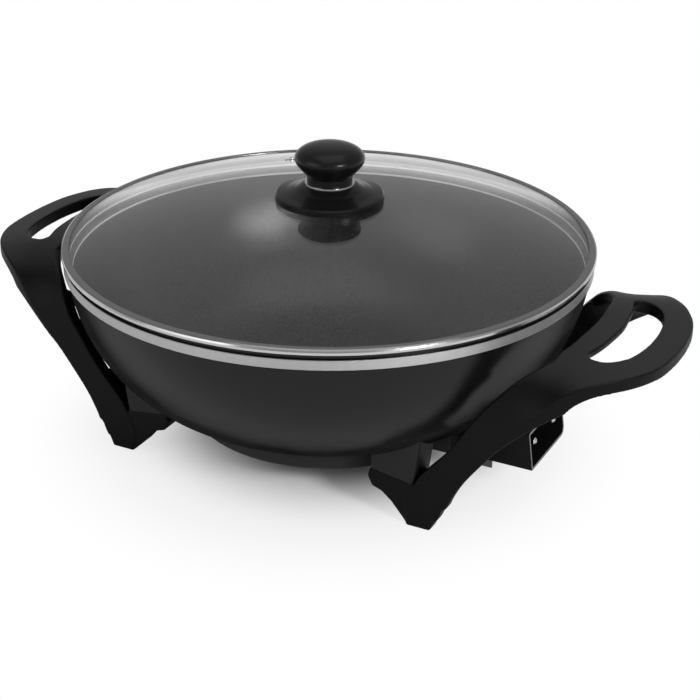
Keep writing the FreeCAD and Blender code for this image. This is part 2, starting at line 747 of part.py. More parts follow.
def finger_face(height):
    """Outline of the finger opening as a face at a height."""
    width = hole_outer - hole_inner
    shares = [
        (0.0, 0.0), (-0.074, 0.408), (-0.214, 0.735), (-0.279, 0.918), (-0.167, 0.984),
        (0.07, 1.0), (0.326, 0.955), (0.628, 0.816), (0.86, 0.551), (0.967, 0.265), (1.0, 0.0),
    ]
    half = [(hole_inner + across * width, out * hole_half_length) for across, out in shares]
    points = [V(x, y, height) for x, y in half]
    points += [V(x, -y, height) for x, y in reversed(half[1:-1])]
    curve = Part.BSplineCurve()
    curve.interpolate(Points=points, PeriodicFlag=True)
    return Part.Face(Part.Wire(curve.toShape()))


def finger_hole():
    """Curved opening through the grip, with a slope under the inner bar."""
    straight = finger_face(0.0).extrude(V(0, 0, handle_crown + 30.0))
    edge = handle_crown - grip_lip - handle_tilt * (hole_inner - handle_tilt_from)
    relief = finger_face(edge).extrude(V(-grip_relief, 0, -grip_relief))
    return straight, relief


def foot_line():
    """Outer edge of a foot from the worktop up to the leg, with its two small steps."""
    shares = [(0.0, 0.0), (0.274, 0.391), (0.434, 0.435), (0.783, 0.935), (1.0, 1.0)]
    return [(leg_foot_outer + out * foot_flare, up * foot_height) for out, up in shares]


def lug_line():
    """Inner edge of a foot from the lug's tip down to the worktop."""
    return [
        (lug_root, lug_root_top), (lug_tip + 0.8, lug_top_at(lug_tip + 0.8)),
        (lug_tip - 0.5, 0.827 * lug_tip_top), (lug_tip + 0.095 * lug_reach, 0.63 * lug_tip_top),
        (lug_tip + 0.34 * lug_reach, 0.5636 * lug_tip_top),
        (lug_tip + 0.593 * lug_reach, 0.393 * lug_tip_top), (leg_foot_inner, 0.0),
    ]


def leg_foot(side):
    """Foot of a leg with the deeper lug that reaches in under the bowl's boss."""
    y = side * (handle_half_width - leg_sheet_inset)
    plate_line = foot_line() + [
        (leg_foot_outer + 0.85 * foot_flare, 1.413 * foot_height),
        (leg_foot_outer + 0.85 * foot_flare, 1.477 * lug_root_top),
        (lug_root + 0.85 * foot_flare, 1.379 * lug_root_top),
    ] + lug_line()
    lug_outer = leg_foot_outer - lug_root_inset
    deep_line = [
        (lug_outer, 0.0), (lug_outer + 14.0, 1.074 * lug_root_top),
        (lug_outer + 21.0, 1.544 * lug_root_top), (lug_outer + 14.0, 1.812 * lug_root_top),
    ] + lug_line()
    plate_wire = polygon_wire([V(x, y, z) for x, z in plate_line])
    plate = Part.Face(plate_wire).extrude(V(0, -side * handle_sheet, 0))
    deep_wire = polygon_wire([V(x, y, z) for x, z in deep_line])
    deep = Part.Face(deep_wire).extrude(V(0, -side * lug_depth, 0))
    return plate.fuse(deep)


def handle_screw_y(side):
    """Y of the screw through a lug."""
    return side * (handle_half_width - handle_screw_inset)


def lug_top_at(x):
    """Height of the lug's sloping top."""
    share = (x - lug_tip) / (lug_root - lug_tip)
    return lug_tip_top + share * (lug_root_top - lug_tip_top)


def washer_seat():
    """Height of the shoulder that a handle screw's washer bears on."""
    return lug_top_at(handle_screw_x) - handle_screw_grip


def handle():
    """Handle frame on the +X side: grip, two legs and their feet."""
    frame = arch_sheet().common(side_outline()).common(plan_outline())
    straight, relief = finger_hole()
    frame = frame.cut(bar_gap()).cut(straight).cut(relief)
    frame = largest_solid(frame)
    for side in (-1, 1):
        frame = frame.fuse(leg_foot(side))
    frame = frame.removeSplitter()
    for side in (-1, 1):
        place = V(handle_screw_x, handle_screw_y(side), 0.0)
        frame = frame.cut(Part.makeCylinder(washer_radius + counterbore_fit, washer_seat(), place))
        frame = frame.cut(Part.makeCylinder(
            handle_screw_radius + screw_fit, lid_seat_height, place))
    return largest_solid(frame)


def foot_boss(side):
    """Boss cast on the bowl that a handle's lug is screwed to, on the +X side."""
    outside = handle_half_width - leg_sheet_inset - boss_setback
    y = side * outside
    low = lug_top_at(boss_outer)
    outline = [
        V(boss_inner, y, lug_top_at(boss_inner)),
        V(boss_outer, y, low),
        V(boss_outer + boss_draft * (lid_seat_height - low), y, lid_seat_height),
        V(boss_inner, y, lid_seat_height),
    ]
    block = Part.Face(polygon_wire(outline)).extrude(V(0, -side * boss_depth, 0))
    upright = [edge for edge in block.Edges
               if abs(edge.Vertexes[0].Z - edge.Vertexes[-1].Z) > boss_depth]
    block = block.makeFillet(boss_corner, upright)
    block = block.cut(bowl_envelope(0.0))
    block = largest_solid(block)
    thread = Part.makeCylinder(
        handle_screw_radius, handle_screw_thread + 20.0,
        V(handle_screw_x, handle_screw_y(side), lug_top_at(handle_screw_x) - 20.0))
    return block.cut(thread)


def handle_screws():
    """Four screws that go up through the lugs into the bosses."""
    screws = []
    seat = washer_seat() - washer_thickness
    tip = lug_top_at(handle_screw_x) + handle_screw_thread - 1.0
    for side in (-1, 1):
        place = V(handle_screw_x, handle_screw_y(side), seat - handle_screw_head)
        head = Part.makeCylinder(handle_screw_head_radius, handle_screw_head, place)
        place = V(place.x, place.y, seat)
        shank = Part.makeCylinder(handle_screw_radius, tip - seat, place)
        screw = head.fuse(shank).removeSplitter()
        screws.append(screw)
        screws.append(mirrored_in_x(screw))
    return Part.makeCompound(screws)


def handle_washers():
    """Four washers under the heads of the handle screws."""
    washers = []
    for side in (-1, 1):
        place = V(handle_screw_x, handle_screw_y(side), washer_seat() - washer_thickness)
        washer = Part.makeCylinder(washer_radius, washer_thickness, place)
        washer = washer.cut(Part.makeCylinder(handle_screw_radius, washer_thickness, place))
        washers.append(washer)
        washers.append(mirrored_in_x(washer))
    return Part.makeCompound(washers)


# ---------------------------------------------------------------- lid

def glass_top_at(radius):
    """Height of the glass's outside at a distance from its middle."""
    return glass_centre + math.sqrt(glass_curve_radius ** 2 - radius ** 2)


def glass_arc(curve_radius, inner, outer):
    """Edge along a sphere of the glass between two distances from the middle."""
    middle = 0.5 * (inner + outer)
    points = []
    for radius in (inner, middle, outer):
        height = glass_centre + math.sqrt(curve_radius ** 2 - radius ** 2)
        points.append(V(radius, 0, height))
    return Part.Arc(*points).toShape(), points[0], points[2]


def vent_axis():
    """Outside middle of the vent and the direction straight out of the glass."""
    height = glass_top_at(math.hypot(vent_x, vent_y))
    place = V(vent_x, vent_y, height)
    direction = place - V(0, 0, glass_centre)
    return place, direction.normalize()


def lid_glass():
    """Domed glass with a flat edge, a hole for the knob's screw and a vent hole."""
    inside_radius = glass_curve_radius - glass_thickness
    inside_edge = math.sqrt(inside_radius ** 2 - (glass_bottom - glass_centre) ** 2)
    glass_edge = ring_radius - ring_shoulder - ring_sheet - glass_edge_gap
    top, top_in, top_out = glass_arc(glass_curve_radius, glass_hole_radius, ring_lip_radius)
    low, low_in, low_out = glass_arc(inside_radius, glass_hole_radius, inside_edge)
    corners = [top_out, V(glass_edge, 0, glass_top_edge), V(glass_edge, 0, glass_bottom), low_out]
    edges = [top, low, Part.makeLine(top_in, low_in)]
    for start, end in zip(corners, corners[1:]):
        edges.append(Part.makeLine(start, end))
    glass = revolve_edges(edges)
    place, outward = vent_axis()
    start = place - outward * (2.0 * glass_thickness)
    return glass.cut(Part.makeCylinder(
        vent_barrel_radius + vent_fit, 4.0 * glass_thickness, start, outward))


def lid_ring():
    """Steel ring folded over the edge of the glass, with a skirt that centres the lid."""
    low = lid_seat_height
    high = low + ring_height
    sheet = ring_sheet
    roll = ring_shoulder
    outside = ring_radius
    return revolve_profile([
        (ring_lip_radius, low - ring_skirt_depth),
        (ring_lip_radius + sheet, low - ring_skirt_depth),
        (ring_lip_radius + sheet, low),
        (outside - 0.35 * roll, low),
        (outside, low + 0.35 * roll),
        (outside, high - 1.1 * roll),
        (outside - 0.3 * roll, high - 0.4 * roll),
        (outside - roll, high),
        (ring_lip_radius, high),
        (ring_lip_radius, high - sheet),
        (outside - roll - sheet, high - sheet),
        (outside - sheet - 0.3 * roll, high - 1.1 * roll),
        (outside - sheet - 0.3 * roll, low + sheet),
        (ring_lip_radius, low + sheet),
    ])


def vent_eyelet():
    """Eyelet that lines the steam vent."""
    place, outward = vent_axis()
    top = place + outward * vent_fit
    under = place - outward * (glass_thickness + vent_fit + vent_flange)
    length = glass_thickness + 2.0 * (vent_fit + vent_flange)
    barrel = Part.makeCylinder(vent_barrel_radius, length, under, outward)
    upper = Part.makeCylinder(vent_flange_radius, vent_flange, top, outward)
    lower = Part.makeCylinder(vent_flange_radius, vent_flange, under, outward)
    eyelet = barrel.fuse(upper).fuse(lower).removeSplitter()
    return eyelet.cut(Part.makeCylinder(vent_bore_radius, length, under, outward))


# ---------------------------------------------------------------- knob

def plate_bottom():
    """Height at which the rim of the knob's plate stands on the glass."""
    return glass_top_at(knob_plate_radius - knob_plate_rim)


def neck_height():
    """Height of the foot of the knob's neck."""
    return plate_bottom() + knob_plate_edge + knob_plate_rise


def knob_gasket():
    """Soft washer between the plate and the glass."""
    low = glass_top_at(glass_hole_radius)
    disc = Part.makeCylinder(gasket_radius, gasket_thickness, V(0, 0, low))
    return disc.cut(Part.makeCylinder(
        knob_screw_radius + knob_screw_fit, gasket_thickness, V(0, 0, low)))


def knob_plate():
    """Round heat plate under the knob, hollow below and seated on the gasket."""
    low = plate_bottom()
    edge_top = low + knob_plate_edge
    neck = neck_height()
    hub_low = glass_top_at(glass_hole_radius) + gasket_thickness
    bore = knob_screw_radius + knob_screw_fit
    rim_wall = knob_plate_radius - knob_plate_rim
    return revolve_profile([
        (bore, hub_low),
        (knob_plate_hub_radius, hub_low),
        (knob_plate_hub_radius, neck - knob_plate_skin),
        (knob_neck_radius + 3.0, neck - knob_plate_skin - 0.6),
        (knob_plate_hollow, edge_top - 0.3),
        (rim_wall, low + 1.2),
        (rim_wall, low),
        (knob_plate_radius - 0.4, low),
        (knob_plate_radius, low + 0.4),
        (knob_plate_radius, edge_top - knob_plate_break),
        (knob_plate_radius - knob_plate_break, edge_top),
        (0.80 * knob_plate_radius, edge_top + 0.18 * knob_plate_rise),
        (0.64 * knob_plate_radius, edge_top + 0.48 * knob_plate_rise),
        (0.52 * knob_plate_radius, edge_top + 0.86 * knob_plate_rise),
        (ferrule_radius, neck),
        (bore, neck),
    ])


def knob_ferrule():
    """Bright ring at the foot of the knob's neck."""
    low = neck_height()
    disc = Part.makeCylinder(ferrule_radius, ferrule_height, V(0, 0, low))
    return disc.cut(Part.makeCylinder(
        knob_screw_radius + knob_screw_fit, ferrule_height, V(0, 0, low)))


def knob_head():
    """Knob that the hand holds, with a waisted neck and a low dome."""
    low = neck_height() + ferrule_height
    flare = low + knob_neck_height
    widest = flare + knob_flare_height
    rim = knob_head_radius
    side = spline_through([
        V(knob_neck_radius, 0, flare),
        V(knob_neck_radius + 0.22 * (rim - knob_neck_radius), 0, flare + 0.16 * knob_flare_height),
        V(knob_neck_radius + 0.68 * (rim - knob_neck_radius), 0, flare + 0.48 * knob_flare_height),
        V(rim - 0.35, 0, widest - 0.25 * knob_flare_height),
        V(rim, 0, widest),
        V(rim - 1.1, 0, widest + 0.26 * knob_dome_height),
        V(rim - 4.0, 0, widest + 0.56 * knob_dome_height),
        V(rim - 10.0, 0, widest + 0.85 * knob_dome_height),
        V(0, 0, widest + knob_dome_height),
    ])
    insert_top = low + insert_length
    corners = [
        V(knob_neck_radius, 0, flare), V(knob_neck_radius, 0, low),
        V(insert_radius, 0, low), V(insert_radius, 0, insert_top),
        V(0, 0, insert_top), V(0, 0, widest + knob_dome_height),
    ]
    edges = [side]
    for start, end in zip(corners, corners[1:]):
        edges.append(Part.makeLine(start, end))
    return revolve_edges(edges)


def knob_insert():
    """Threaded insert moulded into the knob."""
    low = neck_height() + ferrule_height
    bar = Part.makeCylinder(insert_radius, insert_length, V(0, 0, low))
    return bar.cut(Part.makeCylinder(knob_screw_radius, insert_length - 2.0, V(0, 0, low)))


def glass_under():
    """Height of the underside of the glass at its hole."""
    inside_radius = glass_curve_radius - glass_thickness
    return glass_centre + math.sqrt(inside_radius ** 2 - knob_washer_radius ** 2)


def knob_under_gasket():
    """Soft washer between the glass and the steel washer inside the lid."""
    low = glass_under() - gasket_thickness
    disc = Part.makeCylinder(knob_washer_radius, gasket_thickness, V(0, 0, low))
    return disc.cut(Part.makeCylinder(
        knob_screw_radius + knob_screw_fit, gasket_thickness, V(0, 0, low)))


def knob_washer():
    """Steel washer under the glass."""
    low = glass_under() - gasket_thickness - knob_washer_thickness
    disc = Part.makeCylinder(knob_washer_radius, knob_washer_thickness, V(0, 0, low))
    return disc.cut(Part.makeCylinder(
        knob_screw_radius + knob_screw_fit, knob_washer_thickness, V(0, 0, low)))


def knob_screw():
    """Screw from inside the lid up into the knob's insert."""
    seat = glass_under() - gasket_thickness - knob_washer_thickness
    tip = neck_height() + ferrule_height + insert_length - 3.0
    head = Part.makeCylinder(knob_screw_head_radius, knob_screw_head, V(0, 0, seat - knob_screw_head))
    head = head.makeFillet(1.2, [
        edge for edge in head.Edges
        if abs(edge.CenterOfMass.z - (seat - knob_screw_head)) < 0.01])
    shank = Part.makeCylinder(knob_screw_radius, tip - seat, V(0, 0, seat))
    slot = box_between(
        (-knob_screw_head_radius, -0.6, seat - knob_screw_head - 1.0),
        (knob_screw_head_radius, 0.6, seat - knob_screw_head + 1.3),
    )
    return head.fuse(shank).removeSplitter().cut(slot)


def main():
    """Build every piece and write it to its STEP file."""
    right_handle = handle()
    near_boss = foot_boss(-1)
    far_boss = foot_boss(1)
    parts = {
        "bowl": bowl(),
        "heater_casting": heater_casting(),
        "heating_element": heating_element(),
        "probe_tube": probe_tube(),
        "terminal_bush_near": terminal_bush(-1),
        "terminal_bush_far": terminal_bush(1),
        "terminal_pin_near": terminal_pin(-1),
        "terminal_pin_far": terminal_pin(1),
        "socket_shroud": shroud(),
        "shroud_screws": shroud_screws(),
        "earth_tab": earth_tab(),
        "earth_rivet": earth_rivet(),
        "handle_right": right_handle,
        "handle_left": mirrored_in_x(right_handle),
        "boss_right_near": near_boss,
        "boss_right_far": far_boss,
        "boss_left_near": mirrored_in_x(near_boss),
        "boss_left_far": mirrored_in_x(far_boss),
        "handle_screws": handle_screws(),
        "handle_washers": handle_washers(),
        "lid_glass": lid_glass(),
        "lid_ring": lid_ring(),
        "vent_eyelet": vent_eyelet(),
        "knob_plate": knob_plate(),
        "knob_ferrule": knob_ferrule(),
        "knob_head": knob_head(),
        "knob_insert": knob_insert(),
        "knob_gasket": knob_gasket(),
        "knob_under_gasket": knob_under_gasket(),
        "knob_washer": knob_washer(),
        "knob_screw": knob_screw(),
    }
    os.makedirs("parts", exist_ok=True)
    for name, shape in parts.items():
        shape.exportStep("parts/" + name + ".step")


main()
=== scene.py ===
"""Electric wok on a pale sweep: finishes, softened mouldings, lamps and camera.

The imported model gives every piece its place, in metres, with +Z up and the origin on the worktop
under the middle of the bowl. The classes below dress the bowl, its heater and socket, the handles
and the lid, and then set them under soft studio lamps.
"""

from __future__ import annotations

import logging
import math
from dataclasses import dataclass, field
from enum import Enum
from typing import Any

import bpy
from mathutils import Matrix, Vector

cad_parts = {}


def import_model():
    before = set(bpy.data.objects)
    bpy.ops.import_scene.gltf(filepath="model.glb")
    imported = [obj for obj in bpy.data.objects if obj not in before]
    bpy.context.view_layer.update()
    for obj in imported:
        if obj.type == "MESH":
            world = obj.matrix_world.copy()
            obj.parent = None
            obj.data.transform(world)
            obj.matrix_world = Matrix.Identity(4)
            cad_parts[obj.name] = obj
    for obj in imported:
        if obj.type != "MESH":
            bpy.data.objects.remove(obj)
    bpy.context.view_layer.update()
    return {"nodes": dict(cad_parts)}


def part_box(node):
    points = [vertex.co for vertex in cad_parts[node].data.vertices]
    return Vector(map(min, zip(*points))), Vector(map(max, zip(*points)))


LOG = logging.getLogger("wok")
MILLIMETRE = 0.001

Colour = tuple[float, float, float]
Point = tuple[float, float, float]
Span = tuple[float, float]


def grey(level: float) -> Colour:
    """A neutral colour of this level in red, green and blue."""
    return (level, level, level)


# ---------------------------------------------------------------- shader wiring


class Term:
    """One value in a shader expression. Arithmetic on it adds Math nodes."""

    def __init__(self, sheet: Sheet, socket: bpy.types.NodeSocket) -> None:
        """Wraps an output socket.

        Args:
            sheet: The material that the socket belongs to.
            socket: The output that carries the value.
        """
        self.sheet = sheet
        self.socket = socket

    def _math(self, operation: str, *values: Any) -> Term:
        """Adds one Math node for an operation on numbers or terms, in the node's order."""
        return self.sheet.node("Math", {"operation": operation}, dict(enumerate(values)))

    def __add__(self, other: Any) -> Term:
        """Sum."""
        return self._math("ADD", self, other)

    __radd__ = __add__

    def __sub__(self, other: Any) -> Term:
        """Difference."""
        return self._math("SUBTRACT", self, other)

    def __rsub__(self, other: Any) -> Term:
        """Difference with the term on the right."""
        return self._math("SUBTRACT", other, self)

    def __mul__(self, other: Any) -> Term:
        """Product."""
        return self._math("MULTIPLY", self, other)

    __rmul__ = __mul__

    def larger(self, other: Any) -> Term:
        """The larger of two values."""
        return self._math("MAXIMUM", self, other)

    def step(self, start: float, end: float) -> Term:
        """A smooth step of this value.

        Args:
            start: Where the step is 0.
            end: Where the step is 1, which may be below start.

        Returns:
            A term from 0 to 1.
        """
        links = {"Value": self, "From Min": start, "From Max": end}
        return self.sheet.node("MapRange", {"interpolation_type": "SMOOTHSTEP"}, links)


class Sheet:
    """A material, floor or world while its nodes are wired.

    The Mix node has one set of sockets for each kind of value, and mix_first, mix_second and
    mix_result are the numbers of those for colours.
    """

    mix_first: int = 6
    mix_second: int = 7
    mix_result: int = 2
    bevel_samples: int = 6

    def __init__(self, name: str, owner: bpy.types.World | None = None) -> None:
        """Starts with an empty tree.

        Args:
            name: Name of a new material.
            owner: A world to wire instead of a new material.
        """
        self.owner = owner or bpy.data.materials.new(name)
        self.owner.use_nodes = True
        self.tree = self.owner.node_tree
        self.tree.nodes.clear()

    def node(self, kind: str, settings: dict[str, Any] | None = None,
             links: dict[Any, Any] | None = None, output: Any = 0) -> Term | None:
        """Adds any node.

        Args:
            kind: Node type without its ShaderNode prefix.
            settings: Node settings by name.
            links: Values, colours or terms by input name or number.
            output: Name or number of the output that is wanted.

        Returns:
            The chosen output, or None for a node without outputs.
        """
        made = self.tree.nodes.new("ShaderNode" + kind)
        for name, value in (settings or {}).items():
            setattr(made, name, value)
        for name, value in (links or {}).items():
            self._feed(made.inputs[name], value)
        return Term(self, made.outputs[output]) if made.outputs else None

    def _feed(self, socket: bpy.types.NodeSocket, value: Any) -> None:
        """Links a term to an input, or sets its value.

        Args:
            socket: The input.
            value: A term, number, colour or vector.
        """
        if isinstance(value, Term):
            self.tree.links.new(value.socket, socket)
        elif socket.type == "RGBA" and len(value) == 3:
            socket.default_value = (*value, 1.0)
        else:
            socket.default_value = value

    def mix(self, share: Any, first: Any, second: Any) -> Term:
        """A colour that a share of 0 makes the first colour and 1 the second."""
        links = {0: share, self.mix_first: first, self.mix_second: second}
        return self.node("Mix", {"data_type": "RGBA"}, links, self.mix_result)

    def layered(self, share: Term, under: Term, over: Term) -> Term:
        """A shader that a share of 0 makes the lower shader and 1 the upper one."""
        return self.node("MixShader", links={0: share, 1: under, 2: over})

    def ray(self, kind: str) -> Term:
        """1 for rays of one kind: Camera, Glossy, Transmission, Diffuse or Shadow."""
        return self.node("LightPath", output=f"Is {kind} Ray")

    def place(self) -> Term:
        """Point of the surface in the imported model's frame, in metres."""
        return self.node("TexCoord", output="Object")

    def scaled(self, place: Term, factors: Point) -> Term:
        """A vector stretched by these factors along X, Y and Z."""
        return self.node("VectorMath", {"operation": "MULTIPLY"}, {0: place, 1: factors})

    def axis(self, name: str) -> Term:
        """One coordinate of the surface point, X, Y or Z, in metres."""
        return self.node("SeparateXYZ", links={0: self.place()}, output=name)

    def radius(self) -> Term:
        """Distance of the surface point from the Z axis, in metres."""
        flat = self.scaled(self.place(), (1.0, 1.0, 0.0))
        return self.node("VectorMath", {"operation": "LENGTH"}, {0: flat}, "Value")

    def turned_place(self) -> Term:
        """Radius and height as a vector, where noise becomes rings round the Z axis."""
        return self.node("CombineXYZ", links={"X": self.radius(), "Y": self.axis("Z")})

    def facing(self, name: str) -> Term:
        """Part of the surface's normal along X, Y or Z, from -1 to 1."""
        normal = self.node("NewGeometry", output="Normal")
        return self.node("SeparateXYZ", links={0: normal}, output=name)

    def noise(self, scale: float, detail: float = 2.0, roughness: float = 0.5,
              place: Term | None = None) -> Term:
        """Soft noise from 0 to 1.

        Args:
            scale: Waves per metre.
            detail: Octaves.
            roughness: Share of the finer octaves.
            place: Where it is read; the surface point by default.

        Returns:
            The noise's factor.
        """
        links = {
            "Vector": place or self.place(),
            "Scale": scale,
            "Detail": detail,
            "Roughness": roughness,
        }
        return self.node("TexNoise", links=links, output="Fac")

    def cells(self, scale: float) -> Term:
        """Distance to the nearest of scattered points, for specks and pits."""
        links = {"Vector": self.place(), "Scale": scale}
        return self.node("TexVoronoi", links=links, output="Distance")

    def bump(self, height: Term, depth: float, under: Term | None = None) -> Term:
        """Normal of a surface with fine relief.

        Args:
            height: Relief from 0 to 1.
            depth: Height of the relief, in metres.
            under: A normal that the relief lies on.

        Returns:
            The bent normal.
        """
        links: dict[Any, Any] = {"Height": height, "Distance": depth, "Strength": 1.0}
        if under is not None:
            links["Normal"] = under
        return self.node("Bump", links=links)

    def rounded(self, radius: float) -> Term:
        """Normal that rounds sharp edges to a radius, in metres."""
        return self.node("Bevel", {"samples": self.bevel_samples}, {"Radius": radius})

    def surface(self, **sockets: Any) -> Term:
        """The main shader, with its inputs named with underscores for spaces."""
        links = {name.replace("_", " "): value for name, value in sockets.items()}
        return self.node("BsdfPrincipled", links=links)

    def finish(self, shader: Term) -> Any:
        """Wires a shader to the output.

        Args:
            shader: What the surface or world shows.

        Returns:
            The material or world.
        """
        kind = "World" if isinstance(self.owner, bpy.types.World) else "Material"
        self.node(f"Output{kind}", links={"Surface": shader})
        return self.owner


# ---------------------------------------------------------------- finishes


class Lay(Enum):
    """Direction of the marks that finishing leaves on metal, as marks per metre along each axis.

    Turned marks go by radius and height, the others by X, Y and Z.
    """

    TURNED = (9000.0, 9000.0, 0.0)
    ROLLED = (40.0, 4000.0, 4000.0)
    NONE = (900.0, 900.0, 900.0)


@dataclass(frozen=True)
class SprayedCoat:
    """Dark satin coat sprayed on a casting, with its fine orange-peel grain.

    Attributes:
        name: Name of the material.
        colour: Darkest colour.
        roughness: Middle of the roughness.
        roughness_spread: How far the roughness wanders in all.
        specular: Strength of the reflection seen head-on.
        grain: Height of the grain, in metres.
        grain_per_metre: Waves of the fine grain.
        broad_pitch: Waves of the broad grain, as a share of the fine grain's.
        fine_share: Share of the fine grain in the relief.
        mottle_per_metre: Waves of the slow change in tone.
        mottle_lift: How much lighter the lightest colour is.
        patch_per_metre: Waves of the change in roughness.
        edge: Radius of the casting's edges under the coat.
    """

    name: str
    colour: Colour = (0.0034, 0.0034, 0.0035)
    roughness: float = 0.22
    roughness_spread: float = 0.08
    specular: float = 0.28
    grain: float = 0.12 * MILLIMETRE
    grain_per_metre: float = 1000.0
    broad_pitch: float = 0.12
    fine_share: float = 0.7
    mottle_per_metre: float = 38.0
    mottle_lift: float = 1.35
    patch_per_metre: float = 60.0
    edge: float = 0.6 * MILLIMETRE

    def relief(self, sheet: Sheet) -> Term:
        """Height of the coat's grain.

        Args:
            sheet: The material.

        Returns:
            A term from 0 to 1.
        """
        fine = sheet.noise(self.grain_per_metre, detail=3.0, roughness=0.6)
        broad = sheet.noise(self.grain_per_metre * self.broad_pitch)
        return fine * self.fine_share + broad * (1.0 - self.fine_share)

    def tone(self, sheet: Sheet) -> Term:
        """Colour with the slight mottle of sprayed coats.

        Args:
            sheet: The material.

        Returns:
            The colour.
        """
        mottle = sheet.noise(self.mottle_per_metre, detail=4.0, roughness=0.6)
        lighter = tuple(self.mottle_lift * part for part in self.colour)
        return sheet.mix(mottle, self.colour, lighter)

    def polish(self, sheet: Sheet) -> Term:
        """Roughness, a little uneven from patch to patch."""
        smoothest = self.roughness - 0.5 * self.roughness_spread
        return sheet.noise(self.patch_per_metre) * self.roughness_spread + smoothest

    def material(self) -> bpy.types.Material:
        """Makes the material.

        Returns:
            The finished material.
        """
        sheet = Sheet(self.name)
        shader = sheet.surface(
            Base_Color=self.tone(sheet),
            Roughness=self.polish(sheet),
            Specular_IOR_Level=self.specular,
            Normal=sheet.bump(self.relief(sheet), self.grain, sheet.rounded(self.edge)),
        )
        return sheet.finish(shader)


@dataclass(frozen=True)
class Moulding:
    """Black heat-resistant moulding with a spark-eroded grain, a little dust, and painted top
    light on faces that look up.

    Attributes:
        name: Name of the material.
        colour: Colour of the clean moulding.
        roughness: Middle of the roughness.
        roughness_spread: How far the roughness wanders in all.
        specular: Strength of the reflection seen head-on.
        grain: Depth of the pits, in metres.
        grain_per_metre: Pits per metre.
        swirl_per_metre: Waves of the flow marks.
        swirl_share: How much the flow marks lighten the tone.
        dust_per_metre: Waves of the dust.
        dust_span: Noise levels between which dust sets in.
        dust_share: How much the dust lightens the tone.
        dust_gain: How much lighter a dusty place is.
        dust_haze: What dust adds to any colour.
        painted_top_light: Share of the pale tone painted on faces that look up, a painted top
            light.
        top_light_span: Upward part of the normal between which that painted top light sets in.
        top_light_tone: Colour of the painted top light.
    """

    name: str
    colour: Colour = (0.0034, 0.0034, 0.0035)
    roughness: float = 0.42
    roughness_spread: float = 0.1
    specular: float = 0.10
    grain: float = 0.05 * MILLIMETRE
    grain_per_metre: float = 1300.0
    swirl_per_metre: float = 24.0
    swirl_share: float = 0.3
    dust_per_metre: float = 420.0
    dust_span: Span = (0.58, 0.78)
    dust_share: float = 0.5
    dust_gain: float = 1.8
    dust_haze: float = 0.002
    painted_top_light: float = 0.0
    top_light_span: Span = (0.70, 1.0)
    top_light_tone: Colour = grey(0.05)

    def material(self) -> bpy.types.Material:
        """Makes the material.

        Returns:
            The finished material.
        """
        sheet = Sheet(self.name)
        swirl = sheet.noise(self.swirl_per_metre, detail=3.0, roughness=0.55)
        dust = sheet.noise(self.dust_per_metre, detail=3.0, roughness=0.7).step(*self.dust_span)
        lighter = dust * self.dust_share + swirl * self.swirl_share
        dusty = tuple(self.dust_gain * part + self.dust_haze for part in self.colour)
        tone = sheet.mix(lighter, self.colour, dusty)
        # Painted top light: faces that look up take a pale tone in place of the light from above.
        top_light_share = sheet.facing("Z").step(*self.top_light_span) * self.painted_top_light
        smoothest = self.roughness - 0.5 * self.roughness_spread
        shader = sheet.surface(
            Base_Color=sheet.mix(top_light_share, tone, self.top_light_tone),
            Roughness=swirl * self.roughness_spread + smoothest,
            Specular_IOR_Level=self.specular,
            Normal=sheet.bump(sheet.cells(self.grain_per_metre), self.grain),
        )
        return sheet.finish(shader)


